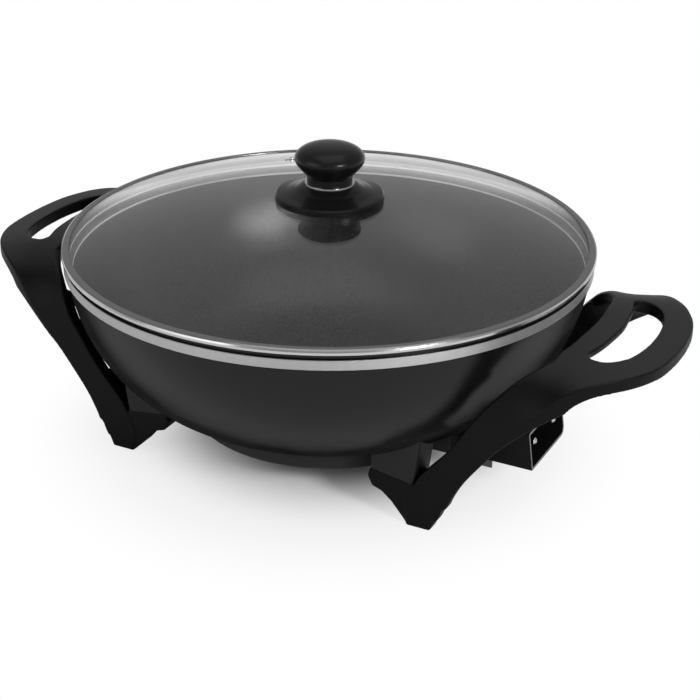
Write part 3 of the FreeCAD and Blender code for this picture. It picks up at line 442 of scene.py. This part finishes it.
@dataclass(frozen=True)
class Metal:
    """Bare or plated metal with the marks of its making.

    Attributes:
        name: Name of the material.
        colour: Colour of the clean metal.
        roughness: Middle of the roughness.
        roughness_spread: How far the marks change the roughness in all.
        lay: Direction of the marks.
        marks: Depth of the marks, in metres.
        tarnish: How much stains dull the metal.
        stain_per_metre: Waves of the stains.
        stain_depth: How much darker a stain is for each part of tarnish.
        highlight_hem: Height where the painted highlight, a bright lower band, ends and height
            where it is full.
        highlight_hem_tone: Colour of the painted highlight.
        painted_top_shade: Share of the dark tone of painted shade on faces that look up.
        top_shade_span: Upward part of the normal between which that painted shade sets in.
        top_shade_tone: Colour of the painted shade.
        edge: Radius of the edges.
    """

    name: str
    colour: Colour
    roughness: float = 0.18
    roughness_spread: float = 0.10
    lay: Lay = Lay.NONE
    marks: float = 0.006 * MILLIMETRE
    tarnish: float = 0.08
    stain_per_metre: float = 90.0
    stain_depth: float = 3.0
    highlight_hem: Span | None = None
    highlight_hem_tone: Colour = grey(0.95)
    painted_top_shade: float = 0.0
    top_shade_span: Span = (0.2, 0.9)
    top_shade_tone: Colour = grey(0.02)
    edge: float = 0.25 * MILLIMETRE

    def lines(self, sheet: Sheet) -> Term:
        """Fine lines along the lay.

        Args:
            sheet: The material.

        Returns:
            A term from 0 to 1.
        """
        place = sheet.turned_place() if self.lay is Lay.TURNED else sheet.place()
        across = sheet.scaled(place, self.lay.value)
        return sheet.noise(1.0, detail=3.0, roughness=0.6, place=across)

    def tone(self, sheet: Sheet, stain: Term) -> Term:
        """Colour with its stains and painted shade on its upper faces.

        Args:
            sheet: The material.
            stain: Where the stains lie.

        Returns:
            The colour.
        """
        dull = tuple(part * (1.0 - self.stain_depth * self.tarnish) for part in self.colour)
        # Painted shade: faces that look up are darkened toward a dark tone.
        top_shade_share = sheet.facing("Z").step(*self.top_shade_span) * self.painted_top_shade
        return sheet.mix(top_shade_share, sheet.mix(stain, self.colour, dull), self.top_shade_tone)

    def material(self) -> bpy.types.Material:
        """Makes the material.

        Returns:
            The finished material.
        """
        sheet = Sheet(self.name)
        lines = self.lines(sheet)
        stain = sheet.noise(self.stain_per_metre, detail=4.0, roughness=0.6)
        # Painted highlight: a bright, non-metallic band low on the metal stands in for light
        # caught on its lower edge.
        highlight_hem = sheet.axis("Z").step(*self.highlight_hem) if self.highlight_hem else 0.0
        smoothest = self.roughness - 0.5 * self.roughness_spread
        shader = sheet.surface(
            Base_Color=sheet.mix(highlight_hem, self.tone(sheet, stain), self.highlight_hem_tone),
            Metallic=1.0 - highlight_hem,
            Roughness=lines * self.roughness_spread + stain * self.tarnish + smoothest,
            Normal=sheet.bump(lines, self.marks, sheet.rounded(self.edge)),
        )
        return sheet.finish(shader)


@dataclass(frozen=True)
class ClearGlass:
    """Toughened glass that lets lamplight through to what it covers.

    Attributes:
        name: Name of the material.
        tint: Colour that the glass lets through.
        index: Refractive index.
        wave_per_metre: Waves of the toughened surface.
        wave: Height of the waves, in metres.
    """

    name: str
    tint: Colour = (0.94, 0.942, 0.94)
    index: float = 1.5
    wave_per_metre: float = 14.0
    wave: float = 0.04 * MILLIMETRE

    def material(self) -> bpy.types.Material:
        """Makes the material.

        Returns:
            The finished material.
        """
        sheet = Sheet(self.name)
        glass = sheet.surface(
            Base_Color=self.tint,
            Roughness=0.0,
            IOR=self.index,
            Transmission_Weight=1.0,
            Normal=sheet.bump(sheet.noise(self.wave_per_metre, detail=1.0), self.wave),
        )
        clear = sheet.node("BsdfTransparent", links={"Color": self.tint})
        unbent = sheet.ray("Shadow").larger(sheet.ray("Diffuse"))
        return sheet.finish(sheet.layered(unbent, glass, clear))


@dataclass(frozen=True)
class Dull:
    """Matt body such as ceramic or silicone, with its own speckle.

    Attributes:
        name: Name of the material.
        colour: Lightest colour.
        roughness: Least roughness.
        roughness_spread: How much rougher the grain gets.
        speck: How much darker the specks are.
        grain: Height of the grain, in metres.
        grain_per_metre: Waves of the grain.
        edge: Radius of the edges.
    """

    name: str
    colour: Colour
    roughness: float
    roughness_spread: float = 0.1
    speck: float = 0.15
    grain: float = 0.04 * MILLIMETRE
    grain_per_metre: float = 1800.0
    edge: float = 0.3 * MILLIMETRE

    def material(self) -> bpy.types.Material:
        """Makes the material.

        Returns:
            The finished material.
        """
        sheet = Sheet(self.name)
        darker = tuple(part * (1.0 - self.speck) for part in self.colour)
        grain = sheet.noise(self.grain_per_metre, detail=3.0, roughness=0.6)
        shader = sheet.surface(
            Base_Color=sheet.mix(grain, self.colour, darker),
            Roughness=grain * self.roughness_spread + self.roughness,
            Normal=sheet.bump(grain, self.grain, sheet.rounded(self.edge)),
        )
        return sheet.finish(shader)


# ---------------------------------------------------------------- the object


class Assembly:
    """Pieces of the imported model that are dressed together.

    Attributes:
        weld_gap: Gap in a moulding's skin that is closed before it is rounded.
        smooth_factor: How far one smoothing pass goes.
    """

    weld_gap: float = 0.01 * MILLIMETRE
    smooth_factor: float = 0.5

    def __init__(self, nodes: dict[str, bpy.types.Object]) -> None:
        """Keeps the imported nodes.

        Args:
            nodes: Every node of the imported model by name.
        """
        self.nodes = nodes

    def dress(self, material: bpy.types.Material, *names: str) -> None:
        """Gives nodes one material.

        Args:
            material: The finish.
            *names: The nodes.
        """
        for name in names:
            mesh = self.nodes[name].data
            mesh.materials.clear()
            mesh.materials.append(material)
            LOG.info("dressed %s in %s", name, material.name)

    def soften(self, name: str, facet: float, passes: int) -> None:
        """Rounds every edge of a moulding, as its tool's radii do.

        Args:
            name: The node.
            facet: Size of the new mesh's facets, in metres.
            passes: How far the edges are rounded.
        """
        piece = self.nodes[name]
        weld = piece.modifiers.new("closed skin", "WELD")
        weld.merge_threshold = self.weld_gap
        skin = piece.modifiers.new("even skin", "REMESH")
        skin.mode = "VOXEL"
        skin.voxel_size = facet
        skin.use_smooth_shade = True
        smooth = piece.modifiers.new("rounded edges", "SMOOTH")
        smooth.factor = self.smooth_factor
        smooth.iterations = passes
        LOG.info("rounded %s", name)


@dataclass
class Bowl:
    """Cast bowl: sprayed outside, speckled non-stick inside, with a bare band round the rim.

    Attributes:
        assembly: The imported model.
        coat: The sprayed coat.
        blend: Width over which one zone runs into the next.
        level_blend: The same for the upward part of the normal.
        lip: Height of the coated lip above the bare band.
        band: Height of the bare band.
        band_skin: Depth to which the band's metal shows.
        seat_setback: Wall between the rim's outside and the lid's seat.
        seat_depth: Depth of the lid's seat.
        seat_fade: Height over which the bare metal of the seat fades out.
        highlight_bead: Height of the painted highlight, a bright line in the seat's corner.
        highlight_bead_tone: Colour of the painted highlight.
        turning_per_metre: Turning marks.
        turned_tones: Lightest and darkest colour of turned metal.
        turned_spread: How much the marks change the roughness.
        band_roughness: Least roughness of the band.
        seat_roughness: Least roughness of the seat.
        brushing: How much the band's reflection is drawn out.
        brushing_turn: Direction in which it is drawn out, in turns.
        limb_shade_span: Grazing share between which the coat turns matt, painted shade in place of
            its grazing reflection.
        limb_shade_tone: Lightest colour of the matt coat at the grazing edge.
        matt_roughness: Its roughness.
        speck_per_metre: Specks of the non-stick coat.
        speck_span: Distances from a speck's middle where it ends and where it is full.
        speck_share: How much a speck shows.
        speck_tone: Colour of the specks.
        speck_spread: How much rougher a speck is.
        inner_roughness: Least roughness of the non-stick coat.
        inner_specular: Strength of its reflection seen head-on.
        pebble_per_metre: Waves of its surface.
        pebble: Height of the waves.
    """

    assembly: Assembly
    coat: SprayedCoat = SprayedCoat("bowl_coat", roughness=0.185, roughness_spread=0.07)
    blend: float = 0.3 * MILLIMETRE
    level_blend: float = 0.02
    lip: float = 2.9 * MILLIMETRE
    band: float = 6.7 * MILLIMETRE
    band_skin: float = 0.3 * MILLIMETRE
    seat_setback: float = 3.4 * MILLIMETRE
    seat_depth: float = 13.4 * MILLIMETRE
    seat_fade: float = 5.4 * MILLIMETRE
    highlight_bead: float = 1.8 * MILLIMETRE
    highlight_bead_tone: Colour = grey(0.95)
    turning_per_metre: float = 7000.0
    turned_tones: tuple[Colour, Colour] = (grey(0.54), grey(0.42))
    turned_spread: float = 0.12
    band_roughness: float = 0.30
    seat_roughness: float = 0.20
    brushing: float = 0.7
    brushing_turn: float = 0.25
    limb_shade_span: Span = (0.45, 0.8)
    limb_shade_tone: Colour = (0.03, 0.03, 0.031)
    matt_roughness: float = 0.8
    speck_per_metre: float = 900.0
    speck_span: Span = (0.32, 0.05)
    speck_share: float = 0.35
    speck_tone: Colour = (0.05, 0.05, 0.052)
    speck_spread: float = 0.1
    inner_roughness: float = 0.27
    inner_specular: float = 0.48
    pebble_per_metre: float = 650.0
    pebble: float = 0.12 * MILLIMETRE
    rim_radius: float = field(init=False)
    rim_top: float = field(init=False)

    def __post_init__(self) -> None:
        """Takes the rim's radius and height from the frame."""
        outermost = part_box("bowl")[1]
        self.rim_radius, self.rim_top = outermost.x, outermost.z

    def band_zone(self, sheet: Sheet) -> Term:
        """Zone of the bare band round the rim's outside.

        Args:
            sheet: The material.

        Returns:
            1 on the band.
        """
        height = sheet.axis("Z")
        high = self.rim_top - self.lip
        low = high - self.band
        least = self.rim_radius - self.band_skin
        above = height.step(low - self.blend, low + self.blend)
        below = height.step(high + 2.0 * self.blend, high)
        return above * below * sheet.radius().step(least - self.blend, least + self.blend)

    def inside_zone(self, sheet: Sheet) -> Term:
        """Zone of the cooking side and the lid's seat.

        Args:
            sheet: The material.

        Returns:
            1 on faces that look up inside the band.
        """
        upward = sheet.facing("Z").step(-self.level_blend, self.level_blend)
        skin, seat = self.rim_radius - self.band_skin, self.rim_radius - self.seat_setback
        return upward * sheet.radius().step(skin, seat)

    def seat_zone(self, sheet: Sheet) -> Term:
        """Heights of the lid's seat, bare at its floor and fading upward.

        Args:
            sheet: The material.

        Returns:
            1 at the seat's floor.
        """
        height = sheet.axis("Z")
        floor = self.rim_top - self.seat_depth
        return height.step(floor - self.blend, floor) * height.step(floor + self.seat_fade, floor)

    def sprayed(self, sheet: Sheet, grain: Term) -> Term:
        """Coat of the outside, which turns matt toward the bowl's grazing edge, painted shade in
        place of its reflection there.

        Args:
            sheet: The material.
            grain: Normal with the grain.

        Returns:
            The shader.
        """
        satin = sheet.surface(
            Base_Color=self.coat.tone(sheet),
            Roughness=self.coat.polish(sheet),
            Specular_IOR_Level=self.coat.specular,
            Normal=grain,
        )
        mottle = sheet.noise(self.coat.mottle_per_metre, detail=4.0)
        matt = sheet.surface(
            Base_Color=sheet.mix(mottle, self.limb_shade_tone, self.coat.tone(sheet)),
            Roughness=self.matt_roughness,
            Specular_IOR_Level=0.0,
            Normal=grain,
        )
        # Painted shade at the grazing edge: by the angle of view the satin coat gives way to a
        # matt one without reflection.
        grazing = sheet.node("LayerWeight", links={"Blend": 0.5}, output="Facing")
        return sheet.layered(grazing.step(*self.limb_shade_span), satin, matt)

    def outer(self, sheet: Sheet, lines: Term) -> Term:
        """Coat of the outside and the turned band.

        Args:
            sheet: The material.
            lines: Turning marks.

        Returns:
            The shader.
        """
        band = self.band_zone(sheet)
        relief = lines * band + self.coat.relief(sheet) * (1.0 - band)
        grain = sheet.bump(relief, self.coat.grain)
        machined = sheet.surface(
            Base_Color=sheet.mix(lines, *self.turned_tones),
            Metallic=1.0,
            Roughness=lines * self.turned_spread + self.band_roughness,
            Anisotropic=self.brushing,
            Anisotropic_Rotation=self.brushing_turn,
            Normal=grain,
        )
        return sheet.layered(band, self.sprayed(sheet, grain), machined)

    def inner(self, sheet: Sheet, lines: Term, inside: Term) -> Term:
        """Non-stick coat of the inside and the lid's bare seat, with a painted highlight line in
        the seat's corner.

        Args:
            sheet: The material.
            lines: Turning marks.
            inside: Zone of the cooking side and the seat.

        Returns:
            The shader.
        """
        bare = self.seat_zone(sheet) * inside
        seat_floor = self.rim_top - self.seat_depth
        # Painted highlight: a bright, non-metallic line at the foot of the seat stands in for
        # light caught on its edge.
        highlight_bead = sheet.axis("Z").step(seat_floor + self.highlight_bead, seat_floor + 0.5 * self.highlight_bead)
        machined = sheet.mix(highlight_bead, sheet.mix(lines, *self.turned_tones), self.highlight_bead_tone)
        specks = sheet.cells(self.speck_per_metre).step(*self.speck_span)
        coated = sheet.mix(specks * self.speck_share, self.coat.tone(sheet), self.speck_tone)
        bare_roughness = lines * self.turned_spread + self.seat_roughness
        coat_roughness = specks * self.speck_spread + self.inner_roughness
        pebbles = sheet.noise(self.pebble_per_metre, roughness=0.6)
        relief = lines * bare + pebbles * (1.0 - bare)
        return sheet.surface(
            Base_Color=sheet.mix(bare, coated, machined),
            Metallic=bare * (1.0 - highlight_bead),
            Roughness=bare * bare_roughness + (1.0 - bare) * coat_roughness,
            Specular_IOR_Level=self.inner_specular,
            Normal=sheet.bump(relief, self.pebble),
        )

    def material(self) -> bpy.types.Material:
        """One finish for the casting, zoned by height, radius and the way it faces.

        Returns:
            The material.
        """
        sheet = Sheet("bowl_coat_and_band")
        turned = sheet.turned_place()
        lines = sheet.noise(self.turning_per_metre, detail=3.0, roughness=0.6, place=turned)
        inside = self.inside_zone(sheet)
        outer = self.outer(sheet, lines)
        return sheet.finish(sheet.layered(inside, outer, self.inner(sheet, lines, inside)))

    def build(self) -> None:
        """Dresses the bowl and the bosses cast on it."""
        self.assembly.dress(self.material(), "bowl")
        boss = SprayedCoat("boss_coat", (0.012, 0.012, 0.0125), roughness=0.35, specular=0.2)
        sides, places = ("left", "right"), ("near", "far")
        names = [f"boss_{side}_{place}" for side in sides for place in places]
        self.assembly.dress(boss.material(), *names)


@dataclass
class Heater:
    """Cast ring under the bowl with its element, terminals and the probe's sleeve.

    Attributes:
        assembly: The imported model.
    """

    assembly: Assembly

    def build(self) -> None:
        """Dresses every piece of the heater."""
        casting = SprayedCoat("heater_coat", (0.014, 0.014, 0.0145), roughness=0.5)
        self.assembly.dress(casting.material(), "heater_casting")
        tube = Metal("element_sheath", (0.33, 0.32, 0.31), 0.38, tarnish=0.15)
        self.assembly.dress(tube.material(), "heating_element")
        sleeve = Metal("zinc_plate", (0.62, 0.62, 0.63), 0.30, tarnish=0.10)
        self.assembly.dress(sleeve.material(), "probe_tube")
        ceramic = Dull("bush_ceramic", (0.78, 0.76, 0.71), 0.55)
        self.assembly.dress(ceramic.material(), "terminal_bush_near", "terminal_bush_far")
        pin = Metal("pin_nickel", (0.80, 0.79, 0.76), 0.16, lay=Lay.ROLLED)
        self.assembly.dress(pin.material(), "terminal_pin_near", "terminal_pin_far")


@dataclass
class Socket:
    """Folded steel shroud round the terminals, with its fixings.

    Attributes:
        assembly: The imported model.
        enamel_tones: Darkest and lightest colour of the enamel.
        enamel_per_metre: Waves of the enamel's tone.
        enamel_specular: Strength of its reflection seen head-on.
        roughness: Least roughness.
        roughness_spread: How much rougher the grain gets.
        grain_per_metre: Waves of the grain.
        grain: Height of the grain.
        cut_span: Forward part of the normal between which the bare cut edge sets in.
        cut_tone: Colour of the cut edge.
        edge: Radius of the edges.
    """

    assembly: Assembly
    enamel_tones: tuple[Colour, Colour] = ((0.004, 0.004, 0.0042), (0.007, 0.007, 0.0073))
    enamel_per_metre: float = 50.0
    enamel_specular: float = 0.16
    roughness: float = 0.3
    roughness_spread: float = 0.1
    grain_per_metre: float = 1100.0
    grain: float = 0.04 * MILLIMETRE
    cut_span: Span = (0.70, 0.95)
    cut_tone: Colour = grey(0.32)
    edge: float = 0.35 * MILLIMETRE

    def enamel(self) -> bpy.types.Material:
        """Black enamel that is bare on the sheet's cut front edge.

        Returns:
            The material.
        """
        sheet = Sheet("shroud_enamel")
        fine = sheet.noise(self.grain_per_metre, detail=3.0, roughness=0.6)
        tone = sheet.mix(sheet.noise(self.enamel_per_metre, detail=3.0), *self.enamel_tones)
        cut = sheet.facing("X").step(*self.cut_span)
        shader = sheet.surface(
            Base_Color=sheet.mix(cut, tone, self.cut_tone),
            Metallic=cut,
            Roughness=fine * self.roughness_spread + self.roughness,
            Specular_IOR_Level=self.enamel_specular,
            Normal=sheet.bump(fine, self.grain, sheet.rounded(self.edge)),
        )
        return sheet.finish(shader)

    def build(self) -> None:
        """Dresses the shroud and its fixings."""
        self.assembly.dress(self.enamel(), "socket_shroud")
        plate = Metal("fixing_zinc", (0.58, 0.58, 0.59), 0.32, tarnish=0.12)
        self.assembly.dress(plate.material(), "shroud_screws", "handle_screws", "handle_washers")
        lug = Metal("lug_tinned", grey(0.24), 0.42, tarnish=0.12)
        self.assembly.dress(lug.material(), "earth_tab", "earth_rivet")


@dataclass
class Handles:
    """Two moulded frames: grip, legs and feet in one piece each.

    Attributes:
        assembly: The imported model.
        facet: Size of the rounded mesh's facets.
        rounding: Smoothing passes.
    """

    assembly: Assembly
    facet: float = 0.6 * MILLIMETRE
    rounding: int = 22

    def build(self) -> None:
        """Rounds and dresses both frames."""
        # The handles' moulding carries painted top light on its upward faces.
        finish = Moulding("handle_moulding", painted_top_light=0.40).material()
        for name in ("handle_right", "handle_left"):
            self.assembly.dress(finish, name)
            self.assembly.soften(name, self.facet, self.rounding)


@dataclass
class Lid:
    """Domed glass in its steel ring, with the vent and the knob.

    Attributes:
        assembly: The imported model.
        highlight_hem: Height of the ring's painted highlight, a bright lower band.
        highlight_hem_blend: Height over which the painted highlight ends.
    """

    assembly: Assembly
    highlight_hem: float = 1.3 * MILLIMETRE
    highlight_hem_blend: float = 0.4 * MILLIMETRE

    def build(self) -> None:
        """Dresses the lid from the ring inward."""
        self.assembly.dress(ClearGlass("lid_glass_clear").material(), "lid_glass")
        # Painted highlight: a bright band low on the ring's outside.
        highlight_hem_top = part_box("lid_ring")[0].z + self.highlight_hem
        # Painted shade darkens the ring's upward faces.
        ring = Metal("ring_stainless", grey(0.62), 0.14, lay=Lay.TURNED, tarnish=0.04,
                     highlight_hem=(highlight_hem_top + self.highlight_hem_blend, highlight_hem_top), painted_top_shade=0.55)
        self.assembly.dress(ring.material(), "lid_ring")
        bright = Metal("trim_stainless", grey(0.74), 0.12, tarnish=0.03)
        trim = ("vent_eyelet", "knob_ferrule", "knob_washer", "knob_screw")
        self.assembly.dress(bright.material(), *trim)
        knob = Moulding("knob_moulding", (0.005, 0.005, 0.0052), roughness=0.24, specular=0.2,
                        grain=0.02 * MILLIMETRE, grain_per_metre=1600.0)
        self.assembly.dress(knob.material(), "knob_head", "knob_plate")
        brass = Metal("insert_brass", (0.72, 0.52, 0.24), 0.25)
        self.assembly.dress(brass.material(), "knob_insert")
        rubber = Dull("gasket_silicone", grey(0.03), 0.6)
        self.assembly.dress(rubber.material(), "knob_gasket", "knob_under_gasket")


# ---------------------------------------------------------------- studio


@dataclass(frozen=True)
class Lamp:
    """A rectangular soft lamp that looks at the middle of the object.

    Attributes:
        name: Name of the lamp.
        place: Where it hangs.
        width: Its width.
        depth: Its depth.
        watts: Its power.
        aim: The point that it looks at.
    """

    name: str
    place: Point
    width: float
    depth: float
    watts: float
    aim: Point = (0.0, 0.0, 0.10)

    def hang(self) -> None:
        """Adds the lamp to the scene."""
        light = bpy.data.lights.new(self.name, "AREA")
        light.shape = "RECTANGLE"
        light.size, light.size_y = self.width, self.depth
        light.energy = self.watts
        holder = bpy.data.objects.new(self.name, light)
        bpy.context.scene.collection.objects.link(holder)
        direction = Vector(self.aim) - Vector(self.place)
        turn = direction.to_track_quat("-Z", "Y").to_matrix().to_4x4()
        holder.matrix_world = Matrix.Translation(self.place) @ turn
        LOG.info("hung lamp %s", self.name)


@dataclass
class Studio:
    """Pale floor and backdrop, and soft lamps.

    Attributes:
        floor_half: Half the floor's side.
        floor_drop: How far the floor lies below the feet.
        floor_tone: Colour of the floor's paper.
        floor_roughness: Its roughness.
        contact_reach: Radii between which the floor brightens round the feet.
        shadow_reach: Radii between which it runs out to white.
        shadow_lift: Share of the brightening that is done within the first reach.
        reflected_reach: Radii between which the floor brightens in reflections.
        reflected_share: How white it gets there.
        backdrop_top: Upward direction where the white backdrop ends and where it is full.
        ambient: Strength of the surrounding above it.
        lamps: The lamps.
    """

    floor_half: float = 6.0
    floor_drop: float = 0.2 * MILLIMETRE
    floor_tone: float = 0.93
    floor_roughness: float = 0.9
    contact_reach: Span = (0.06, 0.140)
    shadow_reach: Span = (0.12, 0.225)
    shadow_lift: float = 0.76
    reflected_reach: Span = (0.28, 0.75)
    reflected_share: float = 0.45
    backdrop_top: Span = (0.16, 0.0)
    ambient: float = 0.40
    lamps: tuple[Lamp, ...] = (
        Lamp("overhead", (0.1, 0.1, 2.0), width=1.5, depth=1.5, watts=6.0),
        Lamp("front left", (-0.9, -1.5, 0.95), width=1.4, depth=0.9, watts=6.5),
        Lamp("front right", (1.5, -0.76, 0.96), width=0.46, depth=0.36, watts=17.0),
    )

    def whiteness(self, sheet: Sheet) -> Term:
        """How far the floor shows as plain white.

        Directly and through glass it runs out to white round the object's shadow. In metal and in
        coats it turns pale only farther out, so that the object isn't lit from below.

        Args:
            sheet: The floor's material.

        Returns:
            A term from 0 to 1.
        """
        radius = sheet.radius()
        lifted = radius.step(*self.contact_reach) * self.shadow_lift
        far = radius.step(*self.shadow_reach) * (1.0 - self.shadow_lift) + lifted
        reflected = radius.step(*self.reflected_reach) * self.reflected_share
        direct = sheet.ray("Camera").larger(sheet.ray("Transmission"))
        return (far * direct).larger(reflected * sheet.ray("Glossy"))

    def floor(self) -> None:
        """Lays the floor, which holds the shadow near the object and runs out to white."""
        half = self.floor_half
        mesh = bpy.data.meshes.new("floor")
        corners = [(-half, -half, 0.0), (half, -half, 0.0), (half, half, 0.0), (-half, half, 0.0)]
        mesh.from_pydata(corners, [], [(0, 1, 2, 3)])
        plane = bpy.data.objects.new("floor", mesh)
        plane.location.z = -self.floor_drop
        bpy.context.scene.collection.objects.link(plane)
        sheet = Sheet("floor_paper")
        paper = sheet.surface(
            Base_Color=grey(self.floor_tone),
            Roughness=self.floor_roughness,
            Specular_IOR_Level=0.0,
        )
        white = sheet.node("Emission", links={"Color": grey(1.0), "Strength": 1.0})
        mesh.materials.append(sheet.finish(sheet.layered(self.whiteness(sheet), paper, white)))

    def world(self) -> None:
        """Sets a plain surrounding whose white backdrop ends a little above the horizon."""
        world = bpy.data.worlds.new("studio")
        bpy.context.scene.world = world
        sheet = Sheet("studio", world)
        light = sheet.node("Background", links={"Color": grey(1.0), "Strength": self.ambient})
        shown = sheet.node("Background", links={"Color": grey(1.0), "Strength": 1.0})
        direction = sheet.node("TexCoord", output="Generated")
        rise = sheet.node("SeparateXYZ", links={0: direction}, output="Z")
        in_pieces = sheet.ray("Glossy").larger(sheet.ray("Transmission"))
        banded = rise.step(*self.backdrop_top) * in_pieces
        sheet.finish(sheet.layered(sheet.ray("Camera").larger(banded), light, shown))

    def build(self) -> None:
        """Builds floor, surrounding and lamps."""
        self.floor()
        self.world()
        for lamp in self.lamps:
            lamp.hang()
        bpy.context.scene.view_settings.view_transform = "Standard"


@dataclass
class Portrait:
    """Three-quarter view from the near right, a little above the rim.

    Attributes:
        azimuth: Turn of the camera round the object, from the front toward +X, in degrees.
        elevation: Its rise above the worktop, in degrees.
        roll: Its lean to the side, in degrees.
        distance: Its distance from the point that it looks at.
        side_aim: How far that point lies to the right of the Z axis.
        height_aim: Height of that point.
        lens: Focal length, in millimetres.
        sensor: Width of the sensor, in millimetres.
    """

    azimuth: float = 26.7757
    elevation: float = 25.7623
    roll: float = 0.5535
    distance: float = 1.188
    side_aim: float = 0.01462
    height_aim: float = 0.06217
    lens: float = 87.35
    sensor: float = 36.0

    def build(self) -> None:
        """Sets the camera."""
        angles = (self.azimuth, self.elevation, self.roll)
        turn, rise, lean = (math.radians(angle) for angle in angles)
        level = math.cos(rise)
        back = Vector((math.sin(turn) * level, -math.cos(turn) * level, math.sin(rise)))
        right = Vector((math.cos(turn), math.sin(turn), 0.0))
        up = back.cross(right)
        side = right * math.cos(lean) + up * math.sin(lean)
        top = up * math.cos(lean) - right * math.sin(lean)
        aim = right * self.side_aim + Vector((0.0, 0.0, self.height_aim))
        lens = bpy.data.cameras.new("portrait")
        lens.lens = self.lens
        lens.sensor_width = self.sensor
        camera = bpy.data.objects.new("portrait", lens)
        bpy.context.scene.collection.objects.link(camera)
        columns = Matrix((side, top, back)).transposed()
        place = Matrix.Translation(aim + back * self.distance)
        camera.matrix_world = place @ columns.to_4x4()
        bpy.context.scene.camera = camera


def main() -> None:
    """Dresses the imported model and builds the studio."""
    logging.basicConfig(level=logging.INFO, format="%(name)s: %(message)s")
    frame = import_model()
    assembly = Assembly(frame["nodes"])
    for part in (Bowl, Heater, Socket, Handles, Lid):
        part(assembly).build()
    Studio().build()
    Portrait().build()


if __name__ == "__main__":
    main()
